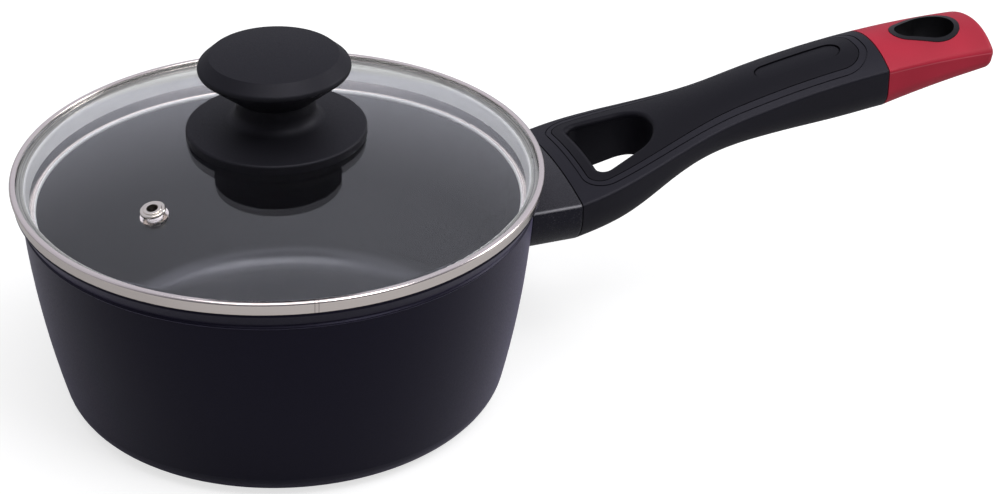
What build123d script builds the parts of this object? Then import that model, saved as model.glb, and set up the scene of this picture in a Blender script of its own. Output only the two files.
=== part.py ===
from build123d import *

import os
from math import atan2, cos, degrees, hypot, radians, sin, sqrt, tan

# Saucepan with a domed glass lid, in millimetres.
# The origin is the centre of the base, +Z is up and the handle points along +X.

# Pan
rim_radius = 83.4
rim_height = 73.0
rim_width = 3.4
rim_round = 0.6
lip_flare = 2.8
lip_height = 6.3
bead_width = 0.6
bead_round = 0.3
wall_draft = 11.3
wall_bulge = 1.7
wall = 2.4
floor = 3.6
base_corner_radius = 9.6
inner_corner_radius = 9.0

# Steel disc in the base
disc_margin = 13.3
disc_thickness = 1.0
disc_groove_width = 1.2
disc_groove_depth = 0.35
disc_groove_spacing = 12.0
disc_clearance = 0.05

# Handle screw and its washer
screw_radius = 2.5
screw_clearance = 0.08
screw_head_width = 2.1
screw_head_height = 3.0
screw_reach = 7.5
washer_thickness = 1.1
washer_margin = 0.3
counterbore_clearance = 0.5
head_setback = 0.5
slot_width = 1.1
slot_depth = 1.6
cross_length = 6.4

# Welded stud and flame guard
stud_wall = 3.0
stud_foot_width = 2.1
stud_foot_thickness = 3.0
stud_setback = 3.4
weld_gap = 0.05
guard_reach = 11.8
guard_wall = 1.6
guard_seat_gap = 0.1
joint_gap = 0.35

# Handle lengths: the grip starts at the guard's end
grip_length = 113.0
cap_length = 40.0
wide_length = 3.6
narrowing_length = 58.0
crown_blend_length = 74.0
straight_length = 67.6
waist_reach = 47.0
rear_depth_reach = 57.0
corner_blend_length = 25.6
grip_section_count = 14
cap_section_count = 6

# Handle form: half width, shoulder line, side depth, underside rounding and crown
front_half_width = 27.3
grip_half_width = 16.0
shoulder_drop = 13.0
rise_angle = 13.2
bend_radius = 328.0
front_depth = 17.0
waist_depth = 10.7
rear_depth = 15.3
cap_taper = 0.21
front_corner_radius = 13.0
rear_corner_radius = 8.0
cap_end_corner_radius = 4.0
front_crown = 3.3
rear_crown = 4.8
shoulder_round = 1.2
cap_shoulder_round = 3.2
cap_end_angle = 12.0
cap_end_round = 2.4
clear_height = 150.0

# Spigot in the guard, tongue in the end cap
spigot_length = 9.0
spigot_clearance = 0.2
cap_wall = 3.0
cap_clearance = 0.15
tongue_end_margin = 5.0
tongue_root = 2.0

# Opening near the pan, top inlay with its gap and outline, long recess
opening_setback = 10.5
opening_length = 23.6
opening_front_half = 17.0
opening_rear_half = 9.3
opening_front_round = 3.2
opening_rear_round = 11.5
opening_edge_round = 1.5
inlay_setback = 6.3
inlay_end_margin = 5.9
inlay_margin = 5.2
inlay_front_margin = 6.3
inlay_front_round = 5.2
inlay_rear_round = 8.0
inlay_outline_points = 9
inlay_thickness = 2.0
inlay_clearance = 0.08
inlay_gap = 0.3
inlay_gap_depth = 0.8
outline_offset = 2.5
outline_front_offset = 1.8
outline_width = 0.45
outline_depth = 0.35
recess_end_margin = 4.9
recess_length = 30.4
recess_half_width = 4.4
recess_depth = 0.4
recess_line_width = 0.5
recess_line_depth = 0.5

# Hanging eyelet
eyelet_setback = 17.0
eyelet_spacing = 8.4
eyelet_rear_radius = 9.7
eyelet_front_radius = 6.4
eyelet_wall = 1.8
eyelet_proud = 0.2
eyelet_clearance = 0.08

# Lid glass
lid_gap = 0.2
glass_thickness = 3.0
glass_inset = 0.9
glass_flat = 1.6
dome_rise = 14.6
dome_edge_round = 3.0
knob_hole_clearance = 1.5

# Lid ring
ring_band = 1.6
ring_foot_inset = 1.0
ring_lip = 0.6
ring_sheet = 0.5
ring_round = 0.9
ring_lip_round = 0.35
ring_lip_rise = 0.6
ring_clearance = 0.05
skirt_clearance = 1.0
skirt_play = 0.8
skirt_drop = 8.5
skirt_bend = 0.8
hem_radius = 0.75

# Steam vent
vent_setback = 26.5
vent_angle = -149.9
vent_hole_radius = 1.8
vent_wall = 0.8
vent_flange_width = 1.35
vent_flange_height = 0.85
vent_roll_width = 0.3
vent_roll_height = 1.15
vent_roll_round = 0.24
vent_clearance = 0.1
vent_seat_gap = 0.02
vent_washer_width = 1.8
vent_washer_thickness = 0.7
vent_clinch = 0.5

# Knob and its fixing
knob_flange_radius = 28.3
knob_flange_side = 2.8
knob_flange_top_rise = 3.2
knob_seat_gap = 0.1
knob_neck_radius = 12.4
knob_neck_round = 4.0
knob_brim_radius = 24.6
knob_brim_height = 22.9
knob_brim_round = 1.5
knob_bevel_width = 4.4
knob_bevel_height = 4.0
knob_top_crown = 1.6
knob_underside_rise = 10.0
knob_shell = 2.2
boss_wall = 3.3
insert_wall = 1.7
insert_length = 12.0
insert_clearance = 0.05
seal_margin = 1.0
seal_thickness = 1.0
knob_washer_width = 3.4
knob_washer_thickness = 0.9
knob_screw_grip = 9.0

# Radii and heights of the pan, from the rim inwards and down
crease_radius = rim_radius - lip_flare
crease_height = rim_height - lip_height
wall_foot_radius = crease_radius - wall_draft
disc_radius = wall_foot_radius - disc_margin

# Screw, washer and stud, from the screw outwards
screw_head_radius = screw_radius + screw_head_width
washer_radius = screw_head_radius + washer_margin
counterbore_radius = washer_radius + counterbore_clearance
counterbore_depth = washer_thickness + screw_head_height + head_setback
stud_radius = screw_radius + stud_wall
stud_foot_radius = stud_radius + stud_foot_width

# Distances from the pan's axis along the handle
guard_end = crease_radius + guard_reach
stud_end = guard_end - stud_setback
grip_end = guard_end + grip_length
cap_end = grip_end + cap_length
width_blend_start = guard_end + wide_length
width_blend_end = width_blend_start + narrowing_length
crown_blend_end = width_blend_start + crown_blend_length
bend_start = guard_end + straight_length
waist_position = guard_end + waist_reach
rear_depth_position = waist_position + rear_depth_reach
corner_blend_end = guard_end + corner_blend_length
shoulder_start_height = rim_height - shoulder_drop
opening_start = guard_end + opening_setback
opening_end = opening_start + opening_length
inlay_start = guard_end + inlay_setback
inlay_end = grip_end - inlay_end_margin
recess_end = inlay_end - recess_end_margin
eyelet_rear_centre = cap_end - eyelet_setback
eyelet_front_centre = eyelet_rear_centre - eyelet_spacing

# Radii of the lid, from the pan's rim
glass_radius = rim_radius - glass_inset
dome_edge_radius = glass_radius - glass_flat
ring_radius = glass_radius + ring_band
ring_foot_radius = ring_radius - ring_foot_inset
ring_lip_radius = glass_radius - ring_lip
skirt_radius = rim_radius - rim_width - skirt_clearance
vent_position = dome_edge_radius - vent_setback
vent_sleeve_radius = vent_hole_radius + vent_wall
vent_flange_radius = vent_sleeve_radius + vent_flange_width
vent_roll_radius = vent_sleeve_radius + vent_roll_width
vent_washer_radius = vent_sleeve_radius + vent_washer_width

# Radii of the knob's fixing, from its screw
knob_top_radius = knob_brim_radius - knob_bevel_width
knob_hole_radius = screw_radius + knob_hole_clearance
insert_radius = screw_radius + insert_wall
knob_boss_radius = insert_radius + boss_wall
knob_washer_radius = screw_head_radius + knob_washer_width
seal_radius = knob_washer_radius + seal_margin


def blend(x, start, end):
    """Smooth fall from 1 at start to 0 at end."""
    t = min(max((x - start) / (end - start), 0), 1)
    return 1 - t * t * (3 - 2 * t)


def round_at(face, point, radius):
    """Round the corner of a flat face that lies nearest to a point."""
    corner = face.vertices().sort_by_distance(Vector(*point))[0]
    return fillet(corner, radius)


def turned(face):
    """Turn a profile of radius and height about the vertical axis."""
    return revolve(Plane.XZ * face, Axis.Z)


def disc_solid(radius, bottom, top):
    """Flat disc about the vertical axis."""
    return Pos(0, 0, bottom) * extrude(Circle(radius), top - bottom)


def ring_solid(inner, outer, bottom, top):
    """Flat ring about the vertical axis."""
    return disc_solid(outer, bottom, top) - disc_solid(inner, bottom, top)


# Pan wall: one long arc from the foot to the crease
wall_chord = hypot(crease_radius - wall_foot_radius, crease_height)
wall_arc_radius = (wall_chord**2 / 4 + wall_bulge**2) / (2 * wall_bulge)
wall_normal = (crease_height / wall_chord, (wall_foot_radius - crease_radius) / wall_chord)
wall_centre_r = (wall_foot_radius + crease_radius) / 2 - wall_normal[0] * (wall_arc_radius - wall_bulge)
wall_centre_z = crease_height / 2 - wall_normal[1] * (wall_arc_radius - wall_bulge)


def wall_at(height, depth=0.0):
    """Radius of the pan wall at a height, at a depth below its outer face."""
    return wall_centre_r + sqrt((wall_arc_radius - depth) ** 2 - (height - wall_centre_z) ** 2)


def wall_arc(low, high, depth=0.0):
    """The wall's arc between two heights."""
    middle = (low + high) / 2
    return ThreePointArc(
        (wall_at(low, depth), low), (wall_at(middle, depth), middle), (wall_at(high, depth), high)
    )


def vessel_outside(grow=0.0):
    """The space inside the pan's outer skin, used to trim what stands against the wall."""
    edges = [
        Line((0, 0), (wall_at(0, -grow), 0)),
        wall_arc(0, crease_height, -grow),
        Line((wall_at(crease_height, -grow), crease_height), (0, crease_height)),
        Line((0, crease_height), (0, 0)),
    ]
    return turned(make_face(edges))


def make_pan():
    """Pressed pan with a flared lip, a fine bead below it and a seat for the base disc."""
    bead_peak = (crease_radius + bead_width, crease_height + bead_width)
    lip_start = (crease_radius, crease_height + 2 * bead_width)
    lip_inside = (rim_radius - rim_width, rim_height)
    inside_crease = (wall_at(crease_height, wall), crease_height)
    inside_foot = (wall_at(floor, wall), floor)
    edges = [
        Line((0, 0), (wall_foot_radius, 0)),
        wall_arc(0, crease_height),
        Line((crease_radius, crease_height), bead_peak),
        Line(bead_peak, lip_start),
        Line(lip_start, (rim_radius, rim_height)),
        Line((rim_radius, rim_height), lip_inside),
        Line(lip_inside, inside_crease),
        wall_arc(floor, crease_height, wall),
        Line(inside_foot, (0, floor)),
        Line((0, floor), (0, 0)),
    ]
    face = make_face(edges)
    face = round_at(face, (wall_foot_radius, 0), base_corner_radius)
    face = round_at(face, inside_foot, inner_corner_radius)
    face = round_at(face, bead_peak, bead_round)
    face = round_at(face, (rim_radius, rim_height), rim_round)
    face = round_at(face, lip_inside, rim_round)
    pan = turned(face)
    return pan - disc_solid(disc_radius + disc_clearance, 0, disc_thickness + disc_clearance)


def make_base_disc():
    """Steel disc let into the base, with turned grooves on its lower face."""
    disc = disc_solid(disc_radius, 0, disc_thickness)
    groove_count = int(disc_radius / disc_groove_spacing)
    for step in range(1, groove_count + 1):
        middle = step * disc_groove_spacing - disc_groove_spacing / 2
        inner = middle - disc_groove_width / 2
        disc -= ring_solid(inner, inner + disc_groove_width, 0, disc_groove_depth)
    return disc


# Handle form along +X
rise = tan(radians(rise_angle))
bend_height = shoulder_start_height + (bend_start - guard_end) * rise
bend_centre_x = bend_start + bend_radius * sin(radians(rise_angle))
bend_centre_z = bend_height - bend_radius * cos(radians(rise_angle))


def shoulder_height(x):
    """Height of the edge between the top and the sides: level, then rising, then bending level."""
    if x > bend_start:
        return bend_centre_z + sqrt(bend_radius**2 - (x - bend_centre_x) ** 2)
    return shoulder_start_height + max(x - guard_end, 0) * rise


def half_width(x):
    share = blend(x, width_blend_start, width_blend_end)
    return grip_half_width + (front_half_width - grip_half_width) * share


def side_depth(x):
    """Depth of the sides below the shoulder: deep at the pan, thin at the waist, deep in the hand."""
    front = (front_depth - waist_depth) * blend(x, guard_end, waist_position)
    rear = (rear_depth - waist_depth) * (1 - blend(x, waist_position, rear_depth_position))
    return waist_depth + front + rear - cap_taper * max(x - grip_end, 0)


def corner_radius(x):
    """Rounding of the underside: wide at the pan, tighter in the hand, tightest at the cap's end."""
    front = (front_corner_radius - rear_corner_radius) * blend(x, guard_end, corner_blend_end)
    rear = (cap_end_corner_radius - rear_corner_radius) * max(x - grip_end, 0) / cap_length
    return min(rear_corner_radius + front + rear, side_depth(x) - edge_round(x))


def crown(x):
    share = blend(x, width_blend_start, crown_blend_end)
    return rear_crown + (front_crown - rear_crown) * share


def edge_round(x):
    """Rounding of the shoulder, which softens along the end cap."""
    share = blend(x, grip_end, cap_end)
    return cap_shoulder_round + (shoulder_round - cap_shoulder_round) * share


def handle_section(x, inset=0.0, lean=0.0):
    """Loaf-shaped cross-section at a distance from the pan's axis: crowned top, rounded underside."""
    wide = half_width(x) - inset
    top = shoulder_height(x) - inset
    bottom = shoulder_height(x) - side_depth(x) + inset
    corner = corner_radius(x) - inset
    dip = corner * (1 - sqrt(0.5))
    edges = [
        ThreePointArc((-wide, top), (0, top + crown(x)), (wide, top)),
        Line((wide, top), (wide, bottom + corner)),
        ThreePointArc((wide, bottom + corner), (wide - dip, bottom + dip), (wide - corner, bottom)),
        Line((wide - corner, bottom), (corner - wide, bottom)),
        ThreePointArc((corner - wide, bottom), (dip - wide, bottom + dip), (-wide, bottom + corner)),
        Line((-wide, bottom + corner), (-wide, top)),
    ]
    face = make_face(edges)
    for side in (-1, 1):
        face = round_at(face, (side * wide, top), edge_round(x))
    upright = Plane.YZ.offset(x) * face
    shoulder = Pos(x, 0, shoulder_height(x))
    return shoulder * Rot(0, lean, 0) * shoulder.inverse() * upright


def handle_loft(start, end, count, end_lean=0.0):
    """Skin through evenly spaced sections of the handle, the last of which may lean."""
    step = (end - start) / (count - 1)
    sections = [handle_section(start + step * i) for i in range(count - 1)]
    return loft(sections + [handle_section(end, lean=end_lean)])


def lowered(solid, distance):
    return Pos(0, 0, -distance) * solid


def column(face):
    """Upright prism of a plan outline, taller than the whole pan."""
    return extrude(face, clear_height)


def opening_plan():
    """Rounded trapezium of the finger opening."""
    corners = [
        (opening_start, -opening_front_half),
        (opening_end, -opening_rear_half),
        (opening_end, opening_rear_half),
        (opening_start, opening_front_half),
    ]
    face = make_face(Polyline(*corners, close=True))
    for point in corners:
        front = point[0] == opening_start
        face = round_at(face, point, opening_front_round if front else opening_rear_round)
    return face


def inlay_half(x):
    """Half width of the inlay, which keeps a margin inside the handle's own outline."""
    share = blend(x, width_blend_start, width_blend_end)
    return half_width(x) - inlay_margin - (inlay_front_margin - inlay_margin) * share


def inlay_plan(grow=0.0, grow_front=0.0):
    """Outline of the inlay with rounded ends, or one that stands outside it."""
    start = inlay_start - grow_front
    end = inlay_end + grow
    step = (end - start) / (inlay_outline_points - 1)
    stations = [start + step * i for i in range(inlay_outline_points)]
    left = [(x, inlay_half(x) + grow) for x in stations]
    right = [(x, -y) for x, y in left]
    edges = [
        Spline(*left),
        Line(left[-1], right[-1]),
        Spline(*right),
        Line(right[0], left[0]),
    ]
    face = make_face(edges)
    for point in (left[0], right[0]):
        face = round_at(face, point, inlay_front_round + grow)
    for point in (left[-1], right[-1]):
        face = round_at(face, point, inlay_rear_round + grow)
    return face


def egg_plan(inset=0.0):
    """Two circles joined by their common tangents: the hanging hole."""
    rear = eyelet_rear_radius - inset
    front = eyelet_front_radius - inset
    reach = eyelet_rear_centre - eyelet_front_centre
    lean = (rear - front) / reach
    level = sqrt(1 - lean**2)
    top_rear = (eyelet_rear_centre - rear * lean, rear * level)
    top_front = (eyelet_front_centre - front * lean, front * level)
    low_rear = (top_rear[0], -top_rear[1])
    low_front = (top_front[0], -top_front[1])
    edges = [
        Line(top_front, top_rear),
        ThreePointArc(top_rear, (eyelet_rear_centre + rear, 0), low_rear),
        Line(low_rear, low_front),
        ThreePointArc(low_front, (eyelet_front_centre - front, 0), top_front),
    ]
    return make_face(edges)


def recess_plan(inset=0.0):
    """Slot with round ends: the long recess in the inlay."""
    length = recess_length - 2 * inset
    return Pos(recess_end - recess_length / 2, 0) * SlotOverall(length, 2 * (recess_half_width - inset))


def inlay_outline():
    """Fine line that follows the inlay at a distance."""
    outer = inlay_plan(outline_offset + outline_width, outline_front_offset + outline_width)
    return outer - inlay_plan(outline_offset, outline_front_offset)


grip_blank = handle_loft(guard_end + joint_gap, grip_end, grip_section_count)
cap_blank = handle_loft(grip_end + joint_gap, cap_end, cap_section_count, cap_end_angle)
rear_blank = handle_loft(grip_end - 2 * tongue_root, cap_end, cap_section_count)

# The handle's screw lies on the middle of the flame guard
axis_height = shoulder_start_height + (front_crown - front_depth) / 2
along_handle = Plane((0, 0, axis_height), x_dir=(0, 1, 0), z_dir=(1, 0, 0))


def rod(radius, start, end):
    """Round bar on the screw's axis, between two distances from the pan's axis."""
    return along_handle.offset(start) * extrude(Circle(radius), end - start)


def make_stud():
    """Stud with a broad welded foot, shaped to the wall and bored for the screw."""
    foot_end = wall_at(axis_height) + stud_foot_thickness
    stud = rod(stud_radius, 0, stud_end) + rod(stud_foot_radius, 0, foot_end)
    stud -= vessel_outside(weld_gap)
    return stud - rod(screw_radius + screw_clearance, stud_end - screw_reach, stud_end)


def make_guard():
    """Painted sleeve between the wall and the grip, cut to the wall's curve."""
    length = guard_end - crease_radius / 2
    outside = handle_section(guard_end)
    inside = handle_section(guard_end, guard_wall)
    sleeve = extrude(outside, -length) - extrude(inside, -length)
    return sleeve - vessel_outside(guard_seat_gap)


def make_inlay():
    """Soft panel on top of the grip, round the opening, with a shallow long recess."""
    outline = inlay_plan() - opening_plan()
    panel = (column(outline) & grip_blank) - lowered(grip_blank, inlay_thickness)
    top = panel.faces().filter_by(lambda face: face.inner_wires()).sort_by(Axis.Z)[-1]
    panel = fillet(top.inner_wires()[0].edges(), opening_edge_round)
    recess = column(recess_plan())
    line = recess - column(recess_plan(recess_line_width))
    panel -= recess - lowered(grip_blank, recess_depth)
    return panel - (line - lowered(grip_blank, recess_depth + recess_line_depth))


def make_grip():
    """Moulded grip: spigot, finger opening, inlay pocket and outline, screw seat and tongue."""
    spigot_inset = guard_wall + spigot_clearance
    spigot = extrude(handle_section(guard_end, spigot_inset), -spigot_length)
    neck = extrude(handle_section(guard_end, spigot_inset), joint_gap)
    grip = grip_blank + spigot + neck + make_tongue()
    grip -= column(opening_plan())
    pocket = column(inlay_plan(inlay_clearance, inlay_clearance))
    grip -= pocket - lowered(grip_blank, inlay_thickness + inlay_clearance)
    gap = column(inlay_plan(inlay_gap, inlay_gap))
    grip -= gap - lowered(grip_blank, inlay_gap_depth)
    grip -= column(inlay_outline()) - lowered(grip_blank, outline_depth)
    grip -= rod(stud_radius + spigot_clearance, 0, stud_end + spigot_clearance)
    grip -= rod(screw_radius + screw_clearance, 0, opening_start)
    grip -= rod(counterbore_radius, opening_start - counterbore_depth, opening_start + counterbore_depth)
    return grip


def tongue_space(grow):
    """Space a wall's thickness inside the end cap, for the tongue or its socket."""
    half = grip_half_width - cap_wall + grow
    depth = cap_wall - grow
    end = cap_end - tongue_end_margin + grow
    start = grip_end - tongue_root
    bar = Pos((start + end) / 2, 0, 0) * column(Rectangle(end - start, 2 * half))
    return (bar & lowered(rear_blank, depth)) & lowered(rear_blank, -depth)


def make_tongue():
    """Tongue that carries the end cap, holed for the hanging eyelet."""
    return tongue_space(0.0) - column(egg_plan(-eyelet_clearance))


def make_cap():
    """End cap: a sleeve over the tongue, its rounded end leaning in towards the underside."""
    cap = fillet(cap_blank.faces().sort_by(Axis.X)[-1].edges(), cap_end_round)
    cap -= tongue_space(cap_clearance)
    return cap - column(egg_plan(-eyelet_clearance))


def make_hang_eyelet():
    """Black collar through cap and tongue, standing slightly proud on top."""
    collar = column(egg_plan() - egg_plan(eyelet_wall))
    return collar & lowered(rear_blank, -eyelet_proud)


head_seat = opening_start - counterbore_depth


def make_handle_screw():
    """Slotted cheese-head screw from the opening into the stud."""
    head_start = head_seat + washer_thickness
    screw = rod(screw_radius, stud_end - screw_reach + screw_clearance, head_start)
    screw += rod(screw_head_radius, head_start, head_start + screw_head_height)
    slot = Box(slot_depth, 2 * screw_head_radius, slot_width)
    return screw - Pos(head_start + screw_head_height - slot_depth / 2, 0, axis_height) * slot


def make_lock_washer():
    bore = screw_radius + screw_clearance
    return rod(washer_radius, head_seat, head_seat + washer_thickness) - rod(bore, 0, opening_start)


# Lid levels, from the pan's rim upwards
ring_bottom = rim_height + lid_gap
skirt_bottom = ring_bottom - skirt_drop
skirt_foot_radius = wall_at(skirt_bottom, wall) - skirt_play
glass_bottom = ring_bottom + ring_sheet + ring_clearance
glass_top = glass_bottom + glass_thickness
dome_radius = (dome_edge_radius**2 + dome_rise**2) / (2 * dome_rise)
dome_centre = glass_top + dome_rise - dome_radius


def dome_at(radius, depth=0.0):
    """Height of the dome at a radius, at a depth below its upper face."""
    return dome_centre + sqrt((dome_radius - depth) ** 2 - radius**2)


def dome_arc(edge, depth=0.0):
    return ThreePointArc(
        (0, dome_at(0, depth)), (edge / 2, dome_at(edge / 2, depth)), (edge, dome_at(edge, depth))
    )


def on_dome(solid, radius, angle):
    """Place a turned piece square to the dome."""
    tilt = degrees(atan2(radius, dome_at(radius) - dome_centre))
    return Rot(0, 0, angle) * Pos(radius, 0, dome_at(radius)) * Rot(0, tilt, 0) * solid


def make_glass():
    """Pressed glass: narrow flat edge and dome, with holes for knob and vent."""
    under_edge = sqrt((dome_radius - glass_thickness) ** 2 - (glass_bottom - dome_centre) ** 2)
    edges = [
        dome_arc(dome_edge_radius),
        Line((dome_edge_radius, glass_top), (glass_radius, glass_top)),
        Line((glass_radius, glass_top), (glass_radius, glass_bottom)),
        Line((glass_radius, glass_bottom), (under_edge, glass_bottom)),
        dome_arc(under_edge, glass_thickness),
        Line((0, dome_at(0, glass_thickness)), (0, dome_at(0))),
    ]
    face = make_face(edges)
    face = round_at(face, (dome_edge_radius, glass_top), dome_edge_round)
    face = round_at(face, (under_edge, glass_bottom), dome_edge_round + glass_thickness)
    glass = turned(face) - column(Circle(knob_hole_radius))
    bore = extrude(Circle(vent_sleeve_radius + vent_clearance), 2 * glass_thickness, both=True)
    return glass - on_dome(bore, vent_position, vent_angle)


def make_ring():
    """Rolled steel ring: lip over the glass, outer band, seat on the rim and hemmed locating skirt."""
    lip_low = glass_top + ring_clearance
    lip_high = lip_low + ring_sheet
    band_top = lip_high + ring_lip_rise - ring_sheet
    hem_height = skirt_bottom + hem_radius
    seat_top = ring_bottom + ring_sheet
    outline = [
        (skirt_foot_radius, hem_height),
        (skirt_radius, ring_bottom),
        (ring_foot_radius, ring_bottom),
        (ring_radius, band_top),
        (ring_lip_radius, lip_high),
        (ring_lip_radius, lip_low),
        (glass_radius + ring_clearance, lip_low),
        (glass_radius + ring_clearance, seat_top),
        (skirt_radius - ring_sheet, seat_top),
        (skirt_foot_radius - ring_sheet, hem_height),
    ]
    face = make_face(Polyline(*outline, close=True))
    face = round_at(face, (ring_radius, band_top), ring_round)
    face = round_at(face, (ring_lip_radius, lip_high), ring_lip_round)
    face = round_at(face, (skirt_radius, ring_bottom), skirt_bend)
    face = round_at(face, (skirt_radius - ring_sheet, seat_top), skirt_bend + ring_sheet)
    hem = Pos(skirt_foot_radius - hem_radius, hem_height) * Circle(hem_radius)
    return turned(face + hem)


def make_vent():
    """Stepped eyelet through the glass."""
    foot = -glass_thickness - vent_washer_thickness - vent_clinch
    outline = [
        (vent_hole_radius, foot),
        (vent_sleeve_radius, foot),
        (vent_sleeve_radius, vent_seat_gap),
        (vent_flange_radius, vent_seat_gap),
        (vent_flange_radius, vent_flange_height),
        (vent_roll_radius, vent_flange_height),
        (vent_roll_radius, vent_roll_height),
        (vent_hole_radius, vent_roll_height),
    ]
    face = make_face(Polyline(*outline, close=True))
    face = round_at(face, (vent_flange_radius, vent_flange_height), vent_flange_height / 2)
    face = round_at(face, (vent_roll_radius, vent_roll_height), vent_roll_round)
    return on_dome(turned(face), vent_position, vent_angle)


def make_vent_washer():
    """Washer that the eyelet is clinched over, below the glass."""
    sag = dome_at(0, glass_thickness) - dome_at(vent_washer_radius, glass_thickness)
    top = -glass_thickness - sag - vent_seat_gap
    bore = vent_sleeve_radius + vent_clearance
    washer = ring_solid(bore, vent_washer_radius, top - vent_washer_thickness, top)
    return on_dome(washer, vent_position, vent_angle)


# Knob levels, above the dome
knob_foot = dome_at(knob_flange_radius) + knob_seat_gap
boss_bottom = dome_at(0) + seal_thickness
brim_height = knob_foot + knob_brim_height
insert_top = boss_bottom + insert_length


def make_knob():
    """Mushroom knob: hollow flange on the glass, waisted neck, bevelled cap and a boss for the insert."""
    flange_inside = knob_flange_radius - knob_shell
    flange_top = knob_foot + knob_flange_side
    neck_foot = flange_top + knob_flange_top_rise
    neck_top = brim_height - knob_underside_rise
    bevel_top = brim_height + knob_bevel_height
    knob_top = bevel_top + knob_top_crown
    hollow_top = neck_foot - knob_shell
    socket_radius = insert_radius + insert_clearance
    outside = [
        (flange_inside, dome_at(flange_inside) + knob_seat_gap),
        (knob_flange_radius, knob_foot),
        (knob_flange_radius, flange_top),
        (knob_neck_radius, neck_foot),
        (knob_neck_radius, neck_top),
        (knob_brim_radius, brim_height),
        (knob_top_radius, bevel_top),
    ]
    crown_radius = (knob_top_radius**2 + knob_top_crown**2) / (2 * knob_top_crown)
    crown_middle = knob_top - crown_radius + sqrt(crown_radius**2 - knob_top_radius**2 / 4)
    crown_arc = ThreePointArc(
        (knob_top_radius, bevel_top), (knob_top_radius / 2, crown_middle), (0, knob_top)
    )
    inside = [
        (0, knob_top),
        (0, insert_top + insert_clearance),
        (socket_radius, insert_top + insert_clearance),
        (socket_radius, boss_bottom),
        (knob_boss_radius, boss_bottom),
        (knob_boss_radius, hollow_top),
        (knob_neck_radius, hollow_top),
        (flange_inside, flange_top - knob_shell / 2),
        outside[0],
    ]
    face = make_face([Polyline(*outside), crown_arc, Polyline(*inside)])
    face = round_at(face, (knob_flange_radius, flange_top), knob_flange_side / 3)
    face = round_at(face, (knob_neck_radius, neck_foot), knob_neck_round)
    face = round_at(face, (knob_brim_radius, brim_height), knob_brim_round)
    return turned(face)


def make_insert():
    """Brass insert in the knob's boss."""
    return ring_solid(screw_radius + screw_clearance, insert_radius, boss_bottom, insert_top)


# The fixing below the glass hangs from the dome's lower face at the seal's edge
under_seal_top = dome_at(seal_radius, glass_thickness)
under_seal_bottom = under_seal_top - seal_thickness
knob_washer_bottom = under_seal_bottom - knob_washer_thickness


def make_knob_seal():
    return ring_solid(screw_radius + screw_clearance, knob_boss_radius, dome_at(0), boss_bottom)


def make_under_seal():
    return ring_solid(screw_radius + screw_clearance, seal_radius, under_seal_bottom, under_seal_top)


def make_knob_washer():
    bore = screw_radius + screw_clearance
    return ring_solid(bore, knob_washer_radius, knob_washer_bottom, under_seal_bottom)


def make_knob_screw():
    """Cross-recessed screw from below, through washer, seals and glass into the insert."""
    head_bottom = knob_washer_bottom - screw_head_height
    screw = disc_solid(screw_radius, knob_washer_bottom, boss_bottom + knob_screw_grip)
    screw += disc_solid(screw_head_radius, head_bottom, knob_washer_bottom)
    for turn in (0, 90):
        slot = Box(cross_length, slot_width, 2 * slot_depth)
        screw -= Pos(0, 0, head_bottom) * Rot(0, 0, turn) * slot
    return screw


pieces = {
    "pan_body": make_pan(),
    "base_disc": make_base_disc(),
    "handle_stud": make_stud(),
    "flame_guard": make_guard(),
    "handle_grip": make_grip(),
    "grip_inlay": make_inlay(),
    "end_cap": make_cap(),
    "hang_eyelet": make_hang_eyelet(),
    "handle_screw": make_handle_screw(),
    "lock_washer": make_lock_washer(),
    "lid_glass": make_glass(),
    "lid_ring": make_ring(),
    "vent_eyelet": make_vent(),
    "vent_washer": make_vent_washer(),
    "lid_knob": make_knob(),
    "knob_insert": make_insert(),
    "knob_seal": make_knob_seal(),
    "under_seal": make_under_seal(),
    "knob_washer": make_knob_washer(),
    "knob_screw": make_knob_screw(),
}

os.makedirs("parts", exist_ok=True)
for name, solid in pieces.items():
    solid.label = name
    export_step(solid, f"parts/{name}.step")
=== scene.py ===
from math import pi, radians

import bpy
from mathutils import Matrix, Vector

# Saucepan with a domed glass lid. Lengths are in metres, in the frame's own axes.
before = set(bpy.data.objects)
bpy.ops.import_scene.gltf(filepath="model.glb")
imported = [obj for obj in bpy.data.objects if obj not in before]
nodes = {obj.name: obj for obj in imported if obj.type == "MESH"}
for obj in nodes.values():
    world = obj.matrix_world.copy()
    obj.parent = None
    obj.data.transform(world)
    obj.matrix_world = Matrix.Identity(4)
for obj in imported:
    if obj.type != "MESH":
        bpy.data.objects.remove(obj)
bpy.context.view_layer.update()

# Camera
camera_place = Vector((-0.2183, -0.78028, 0.51225))
camera_azimuth = radians(-20.4)
camera_elevation = radians(29.877)
camera_roll = radians(0.156)
camera_lens = 105.1
camera_shift = (0.0075, 0.0006)

# Floor
floor_size = 6.0
floor_colour = (0.50, 0.50, 0.51)
floor_roughness = 0.8
floor_specular = 0.1
floor_glow = 0.70

# Sky: the light it gives, and how bright glossy faces mirror it
sky_horizon = 0.12
sky_overhead = 0.55
mirror_horizon = 0.38
mirror_overhead = 0.60
mirror_full_height = 0.4
mirror_tint = (0.95, 0.95, 1.08)

# Sky: shares by direction, and the extra glow overhead that is seen by way of the glass
front_share = 0.3
front_limits = (-0.6, 0.2)
above_limits = (0.5, 0.9)
left_share = 0.86
right_share = 1.12
side_limits = (-0.8, 0.8)
crown_glow = 1.0
crown_limits = (0.64, 0.96)
crown_left_share = 0.3
crown_right_share = 1.2
crown_side_limits = (-0.5, 0.5)

# Lamps
lamp_target = Vector((0.05, 0.0, 0.06))
overhead_place = Vector((0.0, -0.30, 1.3))
overhead_size = 1.0
overhead_power = 6.5
front_lamp_place = Vector((0.4, -0.75, 1.15))
front_lamp_size = 0.6
front_lamp_power = 4.5
right_lamp_place = Vector((1.3, -0.1, 0.7))
right_lamp_size = 0.5
right_lamp_power = 5.0

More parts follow.
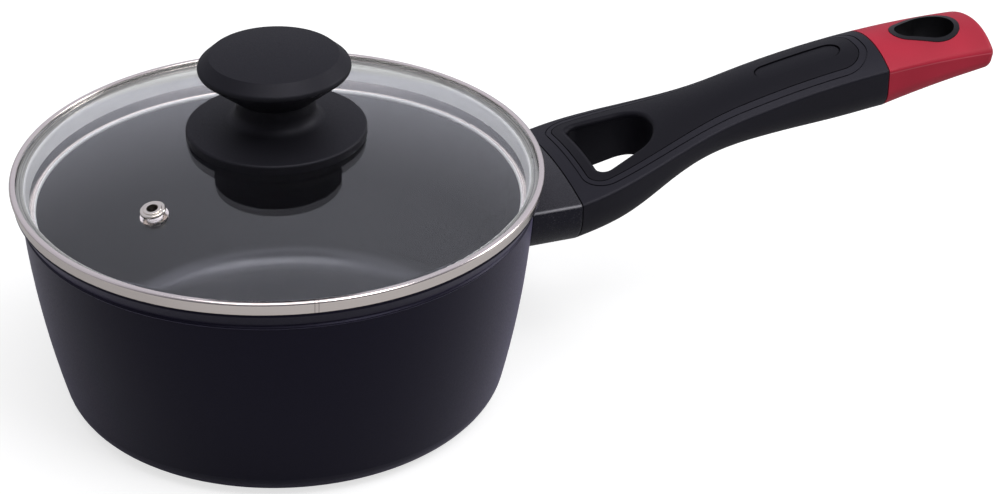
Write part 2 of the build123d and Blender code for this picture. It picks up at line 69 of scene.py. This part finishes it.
# Grain: the range that noise fills, and the usual detail
grain_limits = (0.3, 0.7)
grain_detail = 2.0
white = (1.0, 1.0, 1.0)

# Moulded plastic
black_sheen = (0.90, 0.88, 1.0)
plastic_specular = 0.30
plastic_grain = 2400.0
plastic_relief = 0.000012
plastic_cloud_ratio = 60
plastic_shade = (0.9, 1.12)
plastic_gloss_below = 0.05
plastic_gloss_above = 0.06

# Bare metal
metal_grain = 900.0
metal_relief = 0.000004
metal_dark_share = 0.93
metal_gloss_shares = (0.85, 1.2)
steel_colour = (0.88, 0.80, 0.76)
fastener_roughness = 0.25
vent_colour = (0.86, 0.80, 0.72)
vent_roughness = 0.20
brass_colour = (0.60, 0.43, 0.20)
brass_roughness = 0.3

# Pan: lacquer outside
lacquer_colour = (0.0026, 0.0020, 0.0074)
# Painted sheen: the lacquer is mixed towards this colour where it turns away from the eye
lacquer_painted_sheen_colour = (0.135, 0.120, 0.215)
lacquer_sheen_power = 4.0
lacquer_specular = 0.24
lacquer_sheen = (0.72, 0.68, 1.0)
lacquer_flake_scale = 2600.0
lacquer_flake_limits = (0.35, 0.75)
lacquer_flake_shade = (0.85, 1.4)
lacquer_gloss = (0.32, 0.40)
pan_grain = 1500.0
pan_relief = 0.00001

# Pan: coating inside, found by faces that look at the axis or upwards
coating_colour = (0.010, 0.010, 0.011)
coating_speck_colour = (0.017, 0.017, 0.018)
coating_gloss = (0.36, 0.42)
coat_roughness = 0.24
speck_scale = 1300.0
speck_limits = (0.10, 0.16)
speck_patch_scale = 780.0
speck_patch_limits = (0.56, 0.6)
inward_limit = -0.001
upward_limit = 0.85

# Base disc
disc_dark_colour = (0.42, 0.42, 0.43)
disc_pale_colour = (0.6, 0.6, 0.61)
disc_gloss = (0.25, 0.38)
disc_grain = 4200.0
disc_grain_stretch = 0.002
disc_relief = 0.00001

# Glass of the lid
glass_colour = (0.99, 0.995, 0.992)
glass_index = 1.39
glass_absorption_colour = (0.45, 0.80, 0.62)
glass_absorption = 4.0

# Ring of the lid: polished rim, satin skirt with a polished band
lip_radius = 0.0818
polished_low = 0.0662
polished_low_fade = 0.0001
polished_high = 0.0690
polished_high_fade = 0.0003
skirt_colour = (0.98, 0.97, 0.93)
satin_roughness = 0.28
satin_dulling = 0.9
ring_gloss = (0.15, 0.18)
ring_shade = (0.97, 1.0)
ring_grain = 2200.0
ring_grain_stretch = 0.004

# Ring of the lid: seat under the glass with painted reflection lines and painted shade, and seam at the
# front
seat_inner_radius = 0.0789
seat_outer_radius = 0.0826
lip_underside = 0.0768
seat_painted_shade_colour = (0.10, 0.097, 0.080)
seat_painted_glint_colour = (0.46, 0.45, 0.40)
seat_reflection_scale = 1800.0
seat_reflection_detail = 1.0
seat_reflection_limits = (0.35, 0.65)
seam_angle = radians(-99.0)
seam_width = 0.0012
seam_line = 0.00016
seam_strength = 0.55
seam_colour = (0.08, 0.07, 0.065)

# Flame guard: side and top limits are a normal's upward part, end limits its part along the handle
# Top and side colours are painted light and shade: lighter on top, darker on the sides
guard_lit_top_colour = (0.0185, 0.0182, 0.0215)
guard_shaded_side_colour = (0.0004, 0.0003, 0.0062)
guard_flake_colour = (0.045, 0.044, 0.052)
# Painted highlight along the guard's upper edges
guard_edge_highlight_colour = (0.23, 0.226, 0.245)
guard_specular = 0.32
guard_gloss = (0.30, 0.25)
guard_flake_scale = 4200.0
guard_flake_start = 0.88
guard_edge_round = 0.0012
guard_edge_samples = 6
guard_side_limits = (0.35, 0.60)
guard_top_limits = (0.94, 0.82)
guard_end_limits = (0.2, 0.45)

# Grip and inlay
grip_colour = (0.0058, 0.0054, 0.0094)
grip_roughness = 0.52
# Painted shade on the walls of the finger opening
opening_painted_shade_colour = (0.0003, 0.0003, 0.0020)
opening_centre = (0.113, 0.0, 0.0)
opening_reach = 0.0188
opening_facing = 0.3
inlay_colour = (0.0036, 0.0033, 0.0054)
inlay_roughness = 0.50
inlay_specular = 0.19

# End cap, with a mould line just below the handle's bent shoulder drawn pale as a painted highlight, and
# collar
cap_colour = (0.445, 0.019, 0.044)
cap_roughness = 0.5
cap_specular = 0.26
# Mould line: a real parting line, its pale colour a painted highlight
mould_line_highlight_colour = (0.60, 0.13, 0.17)
mould_line_strength = 0.5
mould_line_drop = 0.0009
mould_line_width = 0.00022
bend_centre = (0.2349, 0.0, -0.2435)
bend_radius = 0.328
collar_colour = (0.005, 0.005, 0.0058)
collar_roughness = 0.36
collar_specular = 0.24
collar_grain = 1800.0
collar_relief = 0.000008

# Knob and seals
knob_colour = (0.0055, 0.0053, 0.0076)
knob_roughness = 0.52
knob_specular = 0.26
silicone_colour = (0.05, 0.05, 0.05)
silicone_roughness = 0.5
silicone_grain = 1500.0
silicone_relief = 0.00001


def rgba(colour):
    """A colour with full alpha."""
    return (*colour, 1.0)


def add(tree, kind, inputs=None, **settings):
    """A shader node whose inputs take values or the sockets of other nodes."""
    made = tree.nodes.new(kind)
    for name, value in settings.items():
        setattr(made, name, value)
    for key, value in (inputs or {}).items():
        if isinstance(value, bpy.types.NodeSocket):
            tree.links.new(value, made.inputs[key])
        else:
            made.inputs[key].default_value = value
    return made


def scalar(tree, operation, *values):
    """A number worked out from numbers."""
    return add(tree, "ShaderNodeMath", dict(enumerate(values)), operation=operation).outputs[0]


def vector(tree, operation, *values):
    """A vector worked out from vectors."""
    return add(tree, "ShaderNodeVectorMath", dict(enumerate(values)), operation=operation).outputs[0]


def measure(tree, operation, *values):
    """A number worked out from vectors."""
    made = add(tree, "ShaderNodeVectorMath", dict(enumerate(values)), operation=operation)
    return made.outputs["Value"]


def scaled(tree, colour, share):
    """A colour made lighter or darker."""
    return add(tree, "ShaderNodeVectorMath", {0: colour, "Scale": share}, operation="SCALE").outputs[0]


def split(tree, value):
    """The three parts of a vector."""
    return add(tree, "ShaderNodeSeparateXYZ", {0: value}).outputs


def join(tree, *parts):
    """A vector from its parts."""
    return add(tree, "ShaderNodeCombineXYZ", dict(enumerate(parts))).outputs[0]


def mix(tree, share, first, second):
    """A colour between two colours, each a plain colour or a socket."""
    inputs = {0: share}
    for key, colour in ((6, first), (7, second)):
        inputs[key] = colour if isinstance(colour, bpy.types.NodeSocket) else rgba(colour)
    return add(tree, "ShaderNodeMix", inputs, data_type="RGBA").outputs[2]


def between(tree, value, low, high, start=0.0, end=1.0):
    """A value stretched from one range to another."""
    inputs = {"Value": value, "From Min": low, "From Max": high, "To Min": start, "To Max": end}
    return add(tree, "ShaderNodeMapRange", inputs).outputs["Result"]


def position(tree):
    """Where a point lies on the object, in metres."""
    return add(tree, "ShaderNodeTexCoord").outputs["Object"]


def face_normal(tree):
    """Which way a face looks."""
    return add(tree, "ShaderNodeNewGeometry").outputs["True Normal"]


def polar(tree):
    """Distance from the pan's axis, the angle about it and the height."""
    x, y, z = split(tree, position(tree))
    return measure(tree, "LENGTH", join(tree, x, y)), scalar(tree, "ARCTAN2", y, x), z


def noise(tree, scale, detail=grain_detail, where=None):
    """Even grain from 0 to 1."""
    inputs = {"Vector": where or position(tree), "Scale": scale, "Detail": detail}
    return add(tree, "ShaderNodeTexNoise", inputs).outputs["Fac"]


def voronoi(tree, scale):
    """Outputs of a pattern of small cells."""
    return add(tree, "ShaderNodeTexVoronoi", {"Vector": position(tree), "Scale": scale}).outputs


def spread(tree, grain, start=0.0, end=1.0):
    """Grain stretched over a range."""
    return between(tree, grain, *grain_limits, start, end)


def principled(name, **inputs):
    """A new material and its tree, with plain values set on the surface shader."""
    material = bpy.data.materials.new(name)
    material.use_nodes = True
    tree = material.node_tree
    shader = tree.nodes["Principled BSDF"]
    for key, value in inputs.items():
        shader.inputs[key.replace("_", " ")].default_value = value
    return material, tree, shader


def feed(tree, shader, **sockets):
    """Sockets linked to the surface shader."""
    for key, socket in sockets.items():
        tree.links.new(socket, shader.inputs[key.replace("_", " ")])


def roughen(tree, shader, height, distance):
    """Fine relief on a surface."""
    made = add(tree, "ShaderNodeBump", {"Height": height, "Distance": distance, "Strength": 1.0})
    feed(tree, shader, Normal=made.outputs["Normal"])


def overlay(material, share, colour):
    """A colour laid over part of a material."""
    tree = material.node_tree
    socket = tree.nodes["Principled BSDF"].inputs["Base Color"]
    tree.links.new(mix(tree, share, socket.links[0].from_socket, colour), socket)


def moulded(
    name,
    colour,
    roughness,
    specular=plastic_specular,
    grain=plastic_grain,
    relief=plastic_relief,
    sheen=black_sheen,
):
    """Moulded plastic: fine grain in its gloss and relief, faint clouds in its colour."""
    plain = {"Specular_IOR_Level": specular, "Specular_Tint": rgba(sheen)}
    material, tree, shader = principled(name, **plain)
    fine = noise(tree, grain)
    cloud = noise(tree, grain / plastic_cloud_ratio)
    tone = scaled(tree, colour, spread(tree, cloud, *plastic_shade))
    gloss = spread(tree, fine, roughness - plastic_gloss_below, roughness + plastic_gloss_above)
    feed(tree, shader, Base_Color=tone, Roughness=gloss)
    roughen(tree, shader, fine, relief)
    return material


def metal(name, colour, roughness):
    """Bare metal with a fine grain."""
    material, tree, shader = principled(name, Metallic=1.0)
    fine = noise(tree, metal_grain)
    dark = [part * metal_dark_share for part in colour]
    tone = mix(tree, spread(tree, fine), dark, colour)
    gloss = [roughness * share for share in metal_gloss_shares]
    feed(tree, shader, Base_Color=tone, Roughness=spread(tree, fine, *gloss))
    roughen(tree, shader, fine, metal_relief)
    return material


def lacquer_tone(tree):
    """Dark lacquer with fine flakes and a painted sheen: paler where it turns away from the eye."""
    painted_edge_light = add(tree, "ShaderNodeLayerWeight").outputs["Facing"]
    sheen_share = scalar(tree, "POWER", painted_edge_light, lacquer_sheen_power)
    flakes = between(tree, noise(tree, lacquer_flake_scale), *lacquer_flake_limits, *lacquer_flake_shade)
    return scaled(tree, mix(tree, sheen_share, lacquer_colour, lacquer_painted_sheen_colour), flakes)


def coating_tone(tree):
    """Dark coating with sparse specks."""
    dots = between(tree, voronoi(tree, speck_scale)["Distance"], *speck_limits, 1.0, 0.0)
    patches = between(tree, noise(tree, speck_patch_scale), *speck_patch_limits)
    return mix(tree, scalar(tree, "MULTIPLY", dots, patches), coating_colour, coating_speck_colour)


def make_pan_material():
    """Satin lacquer outside, speckled non-stick coating inside and on the rim."""
    plain = {"Specular_IOR_Level": lacquer_specular, "Specular_Tint": rgba(lacquer_sheen)}
    material, tree, shader = principled("pan_finish", Coat_Roughness=coat_roughness, **plain)
    normal = face_normal(tree)
    outwards = measure(tree, "DOT_PRODUCT", normal, vector(tree, "MULTIPLY", position(tree), (1, 1, 0)))
    inward = scalar(tree, "LESS_THAN", outwards, inward_limit)
    upward = scalar(tree, "GREATER_THAN", split(tree, normal)[2], upward_limit)
    inside = scalar(tree, "MAXIMUM", inward, upward)
    grain = noise(tree, pan_grain)
    outer_gloss = spread(tree, grain, *lacquer_gloss)
    inner_gloss = spread(tree, grain, *coating_gloss)
    gloss_step = scalar(tree, "SUBTRACT", inner_gloss, outer_gloss)
    feed(
        tree,
        shader,
        Base_Color=mix(tree, inside, lacquer_tone(tree), coating_tone(tree)),
        Roughness=scalar(tree, "MULTIPLY_ADD", gloss_step, inside, outer_gloss),
        Coat_Weight=inside,
    )
    roughen(tree, shader, grain, pan_relief)
    return material


def make_disc_material():
    """Turned steel: fine rings about the base's centre."""
    material, tree, shader = principled("base_steel", Metallic=1.0)
    radius, angle, _ = polar(tree)
    around = scalar(tree, "MULTIPLY", angle, disc_grain_stretch)
    sheen_share = noise(tree, disc_grain, where=join(tree, around, radius))
    tone = mix(tree, spread(tree, sheen_share), disc_dark_colour, disc_pale_colour)
    feed(tree, shader, Base_Color=tone, Roughness=spread(tree, sheen_share, *disc_gloss))
    roughen(tree, shader, sheen_share, disc_relief)
    return material


def make_glass_material():
    """Clear pressed glass, green through its edge."""
    material, tree, _ = principled(
        "lid_glass",
        Base_Color=rgba(glass_colour),
        Transmission_Weight=1.0,
        Roughness=0.0,
        IOR=glass_index,
    )
    inputs = {"Color": rgba(glass_absorption_colour), "Density": glass_absorption}
    volume = add(tree, "ShaderNodeVolumeAbsorption", inputs)
    tree.links.new(volume.outputs[0], tree.nodes["Material Output"].inputs["Volume"])
    return material


def satin_share(tree, radius, height):
    """Where the ring is satin: all of it under the glass but one polished band."""
    over_hem = between(tree, height, polished_low - polished_low_fade, polished_low)
    under_satin = between(tree, height, polished_high, polished_high + polished_high_fade, 1.0, 0.0)
    polished = scalar(tree, "MULTIPLY", over_hem, under_satin)
    under_glass = scalar(tree, "LESS_THAN", radius, lip_radius)
    return scalar(tree, "MULTIPLY", under_glass, scalar(tree, "SUBTRACT", 1.0, polished))


def seat_share(tree, radius, height):
    """Where the ring carries the glass."""
    past_bore = scalar(tree, "GREATER_THAN", radius, seat_inner_radius)
    within_lip = scalar(tree, "LESS_THAN", radius, seat_outer_radius)
    below_lip = scalar(tree, "LESS_THAN", height, lip_underside)
    return scalar(tree, "MULTIPLY", below_lip, scalar(tree, "MULTIPLY", past_bore, within_lip))


def seam_share(tree, radius, angle):
    """Two fine lines across the ring, one on either side of its seam."""
    along = scalar(tree, "MULTIPLY", scalar(tree, "SUBTRACT", angle, seam_angle), radius)
    off_line = scalar(tree, "SUBTRACT", scalar(tree, "ABSOLUTE", along), seam_width / 2)
    lines = between(tree, scalar(tree, "ABSOLUTE", off_line), seam_line / 2, seam_line, 1.0, 0.0)
    return scalar(tree, "MULTIPLY", lines, seam_strength)


def make_ring_material():
    """Brushed steel: polished rim with a seam, satin skirt, and painted dark and pale reflection lines on
    the seat.
    """
    material, tree, shader = principled("ring_steel", Metallic=1.0)
    radius, angle, height = polar(tree)
    around = scalar(tree, "MULTIPLY", angle, ring_grain_stretch)
    brushed = noise(tree, ring_grain, where=join(tree, around, radius, height))
    satin = satin_share(tree, radius, height)
    # Painted reflection lines and painted shade on the seat under the glass
    painted_reflection_grain = noise(tree, seat_reflection_scale, seat_reflection_detail, join(tree, radius))
    seat_reflections = between(tree, painted_reflection_grain, *seat_reflection_limits)
    seat_painted_tone = mix(tree, seat_reflections, seat_painted_shade_colour, seat_painted_glint_colour)
    steel_tone = mix(tree, satin, steel_colour, skirt_colour)
    steel_tone = mix(tree, seat_share(tree, radius, height), steel_tone, seat_painted_tone)
    steel_tone = scaled(tree, steel_tone, spread(tree, brushed, *ring_shade))
    polish = spread(tree, brushed, *ring_gloss)
    feed(
        tree,
        shader,
        Base_Color=mix(tree, seam_share(tree, radius, angle), steel_tone, seam_colour),
        Roughness=scalar(tree, "MULTIPLY_ADD", satin, satin_roughness, polish),
        Metallic=scalar(tree, "MULTIPLY_ADD", satin, -satin_dulling, 1.0),
    )
    return material


def make_guard_material():
    """Dark metallic paint with bright flakes, painted light on top, painted shade on the sides and a
    painted highlight along the upper edges.
    """
    plain = {"Specular_IOR_Level": guard_specular, "Specular_Tint": rgba(black_sheen)}
    material, tree, shader = principled("guard_paint", **plain)
    shine = add(tree, "ShaderNodeSeparateColor", {0: voronoi(tree, guard_flake_scale)["Color"]}).outputs[0]
    flakes = between(tree, shine, guard_flake_start, 1.0)
    bevel = add(tree, "ShaderNodeBevel", {"Radius": guard_edge_round}, samples=guard_edge_samples)
    rounded = bevel.outputs[0]
    lengthwise, _, upward = split(tree, rounded)
    off_side = between(tree, upward, *guard_side_limits)
    off_top = between(tree, upward, *guard_top_limits)
    off_end = between(tree, scalar(tree, "ABSOLUTE", lengthwise), *guard_end_limits, 1.0, 0.0)
    # Painted highlight along the upper edges, kept off the ends
    painted_edge_light = scalar(tree, "MULTIPLY", scalar(tree, "MULTIPLY", off_side, off_top), off_end)
    # Painted light and shade: top colour on upward faces, side colour on the sides
    lit_and_shaded_paint = mix(tree, off_side, guard_shaded_side_colour, guard_lit_top_colour)
    paint = mix(tree, flakes, lit_and_shaded_paint, guard_flake_colour)
    feed(
        tree,
        shader,
        Base_Color=mix(tree, painted_edge_light, paint, guard_edge_highlight_colour),
        Roughness=between(tree, shine, 0.0, 1.0, *guard_gloss),
        Normal=rounded,
    )
    return material


def make_grip_material():
    """Moulded black plastic, with painted shade on the walls of the finger opening."""
    material = moulded("grip_black", grip_colour, grip_roughness)
    tree = material.node_tree
    flat = vector(tree, "MULTIPLY", position(tree), (1, 1, 0))
    inwards = vector(tree, "SUBTRACT", opening_centre, flat)
    near = scalar(tree, "LESS_THAN", measure(tree, "LENGTH", inwards), opening_reach)
    aim = vector(tree, "NORMALIZE", inwards)
    facing = measure(tree, "DOT_PRODUCT", face_normal(tree), aim)
    # Painted shade where faces inside the opening look towards its centre
    shaded_walls = scalar(tree, "MULTIPLY", near, scalar(tree, "GREATER_THAN", facing, opening_facing))
    overlay(material, shaded_walls, opening_painted_shade_colour)
    return material


def make_cap_material():
    """Moulded red plastic with the mould's parting line along its sides, drawn pale as a painted
    highlight.
    """
    material = moulded("cap_red", cap_colour, cap_roughness, cap_specular, sheen=white)
    tree = material.node_tree
    flat = vector(tree, "MULTIPLY", position(tree), (1, 0, 1))
    reach = measure(tree, "DISTANCE", flat, bend_centre)
    off_line = scalar(tree, "ABSOLUTE", scalar(tree, "SUBTRACT", reach, bend_radius - mould_line_drop))
    line = between(tree, off_line, mould_line_width / 2, mould_line_width, mould_line_strength, 0.0)
    overlay(material, line, mould_line_highlight_colour)
    return material


def make_collar_material():
    """Smoother black plastic."""
    return moulded(
        "collar_black", collar_colour, collar_roughness, collar_specular, collar_grain, collar_relief
    )


def make_seal_material(name):
    """Dark silicone."""
    return moulded(
        name, silicone_colour, silicone_roughness, grain=silicone_grain, relief=silicone_relief
    )


steel = metal("fastener_steel", steel_colour, fastener_roughness)
finishes = {
    "pan_body": make_pan_material(),
    "base_disc": make_disc_material(),
    "handle_stud": steel,
    "flame_guard": make_guard_material(),
    "handle_grip": make_grip_material(),
    "grip_inlay": moulded("inlay_black", inlay_colour, inlay_roughness, inlay_specular),
    "end_cap": make_cap_material(),
    "hang_eyelet": make_collar_material(),
    "handle_screw": steel,
    "lock_washer": steel,
    "lid_glass": make_glass_material(),
    "lid_ring": make_ring_material(),
    "vent_eyelet": metal("vent_steel", vent_colour, vent_roughness),
    "vent_washer": steel,
    "lid_knob": moulded("knob_black", knob_colour, knob_roughness, knob_specular),
    "knob_insert": metal("insert_brass", brass_colour, brass_roughness),
    "knob_seal": make_seal_material("seal_black"),
    "under_seal": make_seal_material("under_seal_black"),
    "knob_washer": steel,
    "knob_screw": steel,
}
for name, material in finishes.items():
    slots = nodes[name].data.materials
    slots.clear()
    slots.append(material)


def seen_share(tree, ray):
    """One for rays from the camera and rays out of the glass."""
    return scalar(tree, "MAXIMUM", ray["Is Camera Ray"], ray["Is Transmission Ray"])


def make_floor():
    """Pale floor that reads white beside the object and still takes its shadow."""
    half = floor_size / 2
    mesh = bpy.data.meshes.new("floor")
    corners = [(-half, -half, 0), (half, -half, 0), (half, half, 0), (-half, half, 0)]
    mesh.from_pydata(corners, [], [(0, 1, 2, 3)])
    floor = bpy.data.objects.new("floor", mesh)
    bpy.context.scene.collection.objects.link(floor)
    material, tree, shader = principled(
        "floor_pale",
        Base_Color=rgba(floor_colour),
        Roughness=floor_roughness,
        Specular_IOR_Level=floor_specular,
        Emission_Color=rgba(white),
    )
    ray = add(tree, "ShaderNodeLightPath").outputs
    feed(tree, shader, Emission_Strength=scalar(tree, "MULTIPLY", seen_share(tree, ray), floor_glow))
    mesh.materials.append(material)


def lit_level(tree, way, mirrored, across):
    """Light from the room: brightest overhead and behind, dim in front."""
    light = between(tree, way[2], 0.0, 1.0, sky_horizon, sky_overhead)
    mirror = between(tree, way[2], 0.0, mirror_full_height, mirror_horizon, mirror_overhead)
    level = scalar(tree, "MULTIPLY_ADD", scalar(tree, "SUBTRACT", mirror, light), mirrored, light)
    behind = between(tree, way[1], *front_limits, front_share, 1.0)
    above = between(tree, way[2], *above_limits, front_share, 1.0)
    backdrop = scalar(tree, "MULTIPLY", scalar(tree, "MAXIMUM", behind, above), across)
    return scalar(tree, "MULTIPLY", level, backdrop)


def shown_level(tree, way, ray, across):
    """White for the camera. Out of the glass, white with a brighter crown overhead."""
    crown = between(tree, way[2], *crown_limits, 0.0, crown_glow)
    crown_side = between(tree, way[0], *crown_side_limits, crown_left_share, crown_right_share)
    by_glass = scalar(tree, "MULTIPLY_ADD", crown, crown_side, across)
    by_glass = scalar(tree, "MULTIPLY", ray["Is Transmission Ray"], by_glass)
    return scalar(tree, "MAXIMUM", ray["Is Camera Ray"], by_glass)


def make_sky():
    """Room with a white backdrop, a little brighter on the right."""
    world = bpy.data.worlds.new("room")
    world.use_nodes = True
    bpy.context.scene.world = world
    tree = world.node_tree
    way = split(tree, add(tree, "ShaderNodeTexCoord").outputs["Generated"])
    ray = add(tree, "ShaderNodeLightPath").outputs
    mirrored = ray["Is Glossy Ray"]
    across = between(tree, way[0], *side_limits, left_share, right_share)
    unseen = scalar(tree, "SUBTRACT", 1.0, seen_share(tree, ray))
    lit = lit_level(tree, way, mirrored, across)
    level = scalar(tree, "MULTIPLY_ADD", lit, unseen, shown_level(tree, way, ray, across))
    background = tree.nodes["Background"]
    feed(tree, background, Strength=level, Color=mix(tree, mirrored, white, mirror_tint))


def make_lamp(name, spot, size, power, through_glass=False):
    """Square soft box aimed at the object, unseen by the camera and as a rule through the glass."""
    lamp = bpy.data.lights.new(name, "AREA")
    lamp.size = size
    lamp.energy = power
    made = bpy.data.objects.new(name, lamp)
    made.location = spot
    made.rotation_euler = (lamp_target - spot).to_track_quat("-Z", "Y").to_euler()
    made.visible_camera = False
    made.visible_transmission = through_glass
    bpy.context.scene.collection.objects.link(made)


def make_camera():
    """Camera at the photograph's place and angle."""
    lens = bpy.data.cameras.new("camera")
    lens.lens = camera_lens
    lens.shift_x, lens.shift_y = camera_shift
    camera = bpy.data.objects.new("camera", lens)
    turn = Matrix.Rotation(camera_azimuth, 4, "Z") @ Matrix.Rotation(pi / 2 - camera_elevation, 4, "X")
    camera.matrix_world = Matrix.Translation(camera_place) @ turn @ Matrix.Rotation(camera_roll, 4, "Z")
    bpy.context.scene.collection.objects.link(camera)
    bpy.context.scene.camera = camera


make_floor()
make_sky()
make_lamp("overhead", overhead_place, overhead_size, overhead_power, through_glass=True)
make_lamp("front", front_lamp_place, front_lamp_size, front_lamp_power)
make_lamp("right", right_lamp_place, right_lamp_size, right_lamp_power)
make_camera()
bpy.context.scene.view_settings.view_transform = "Standard"
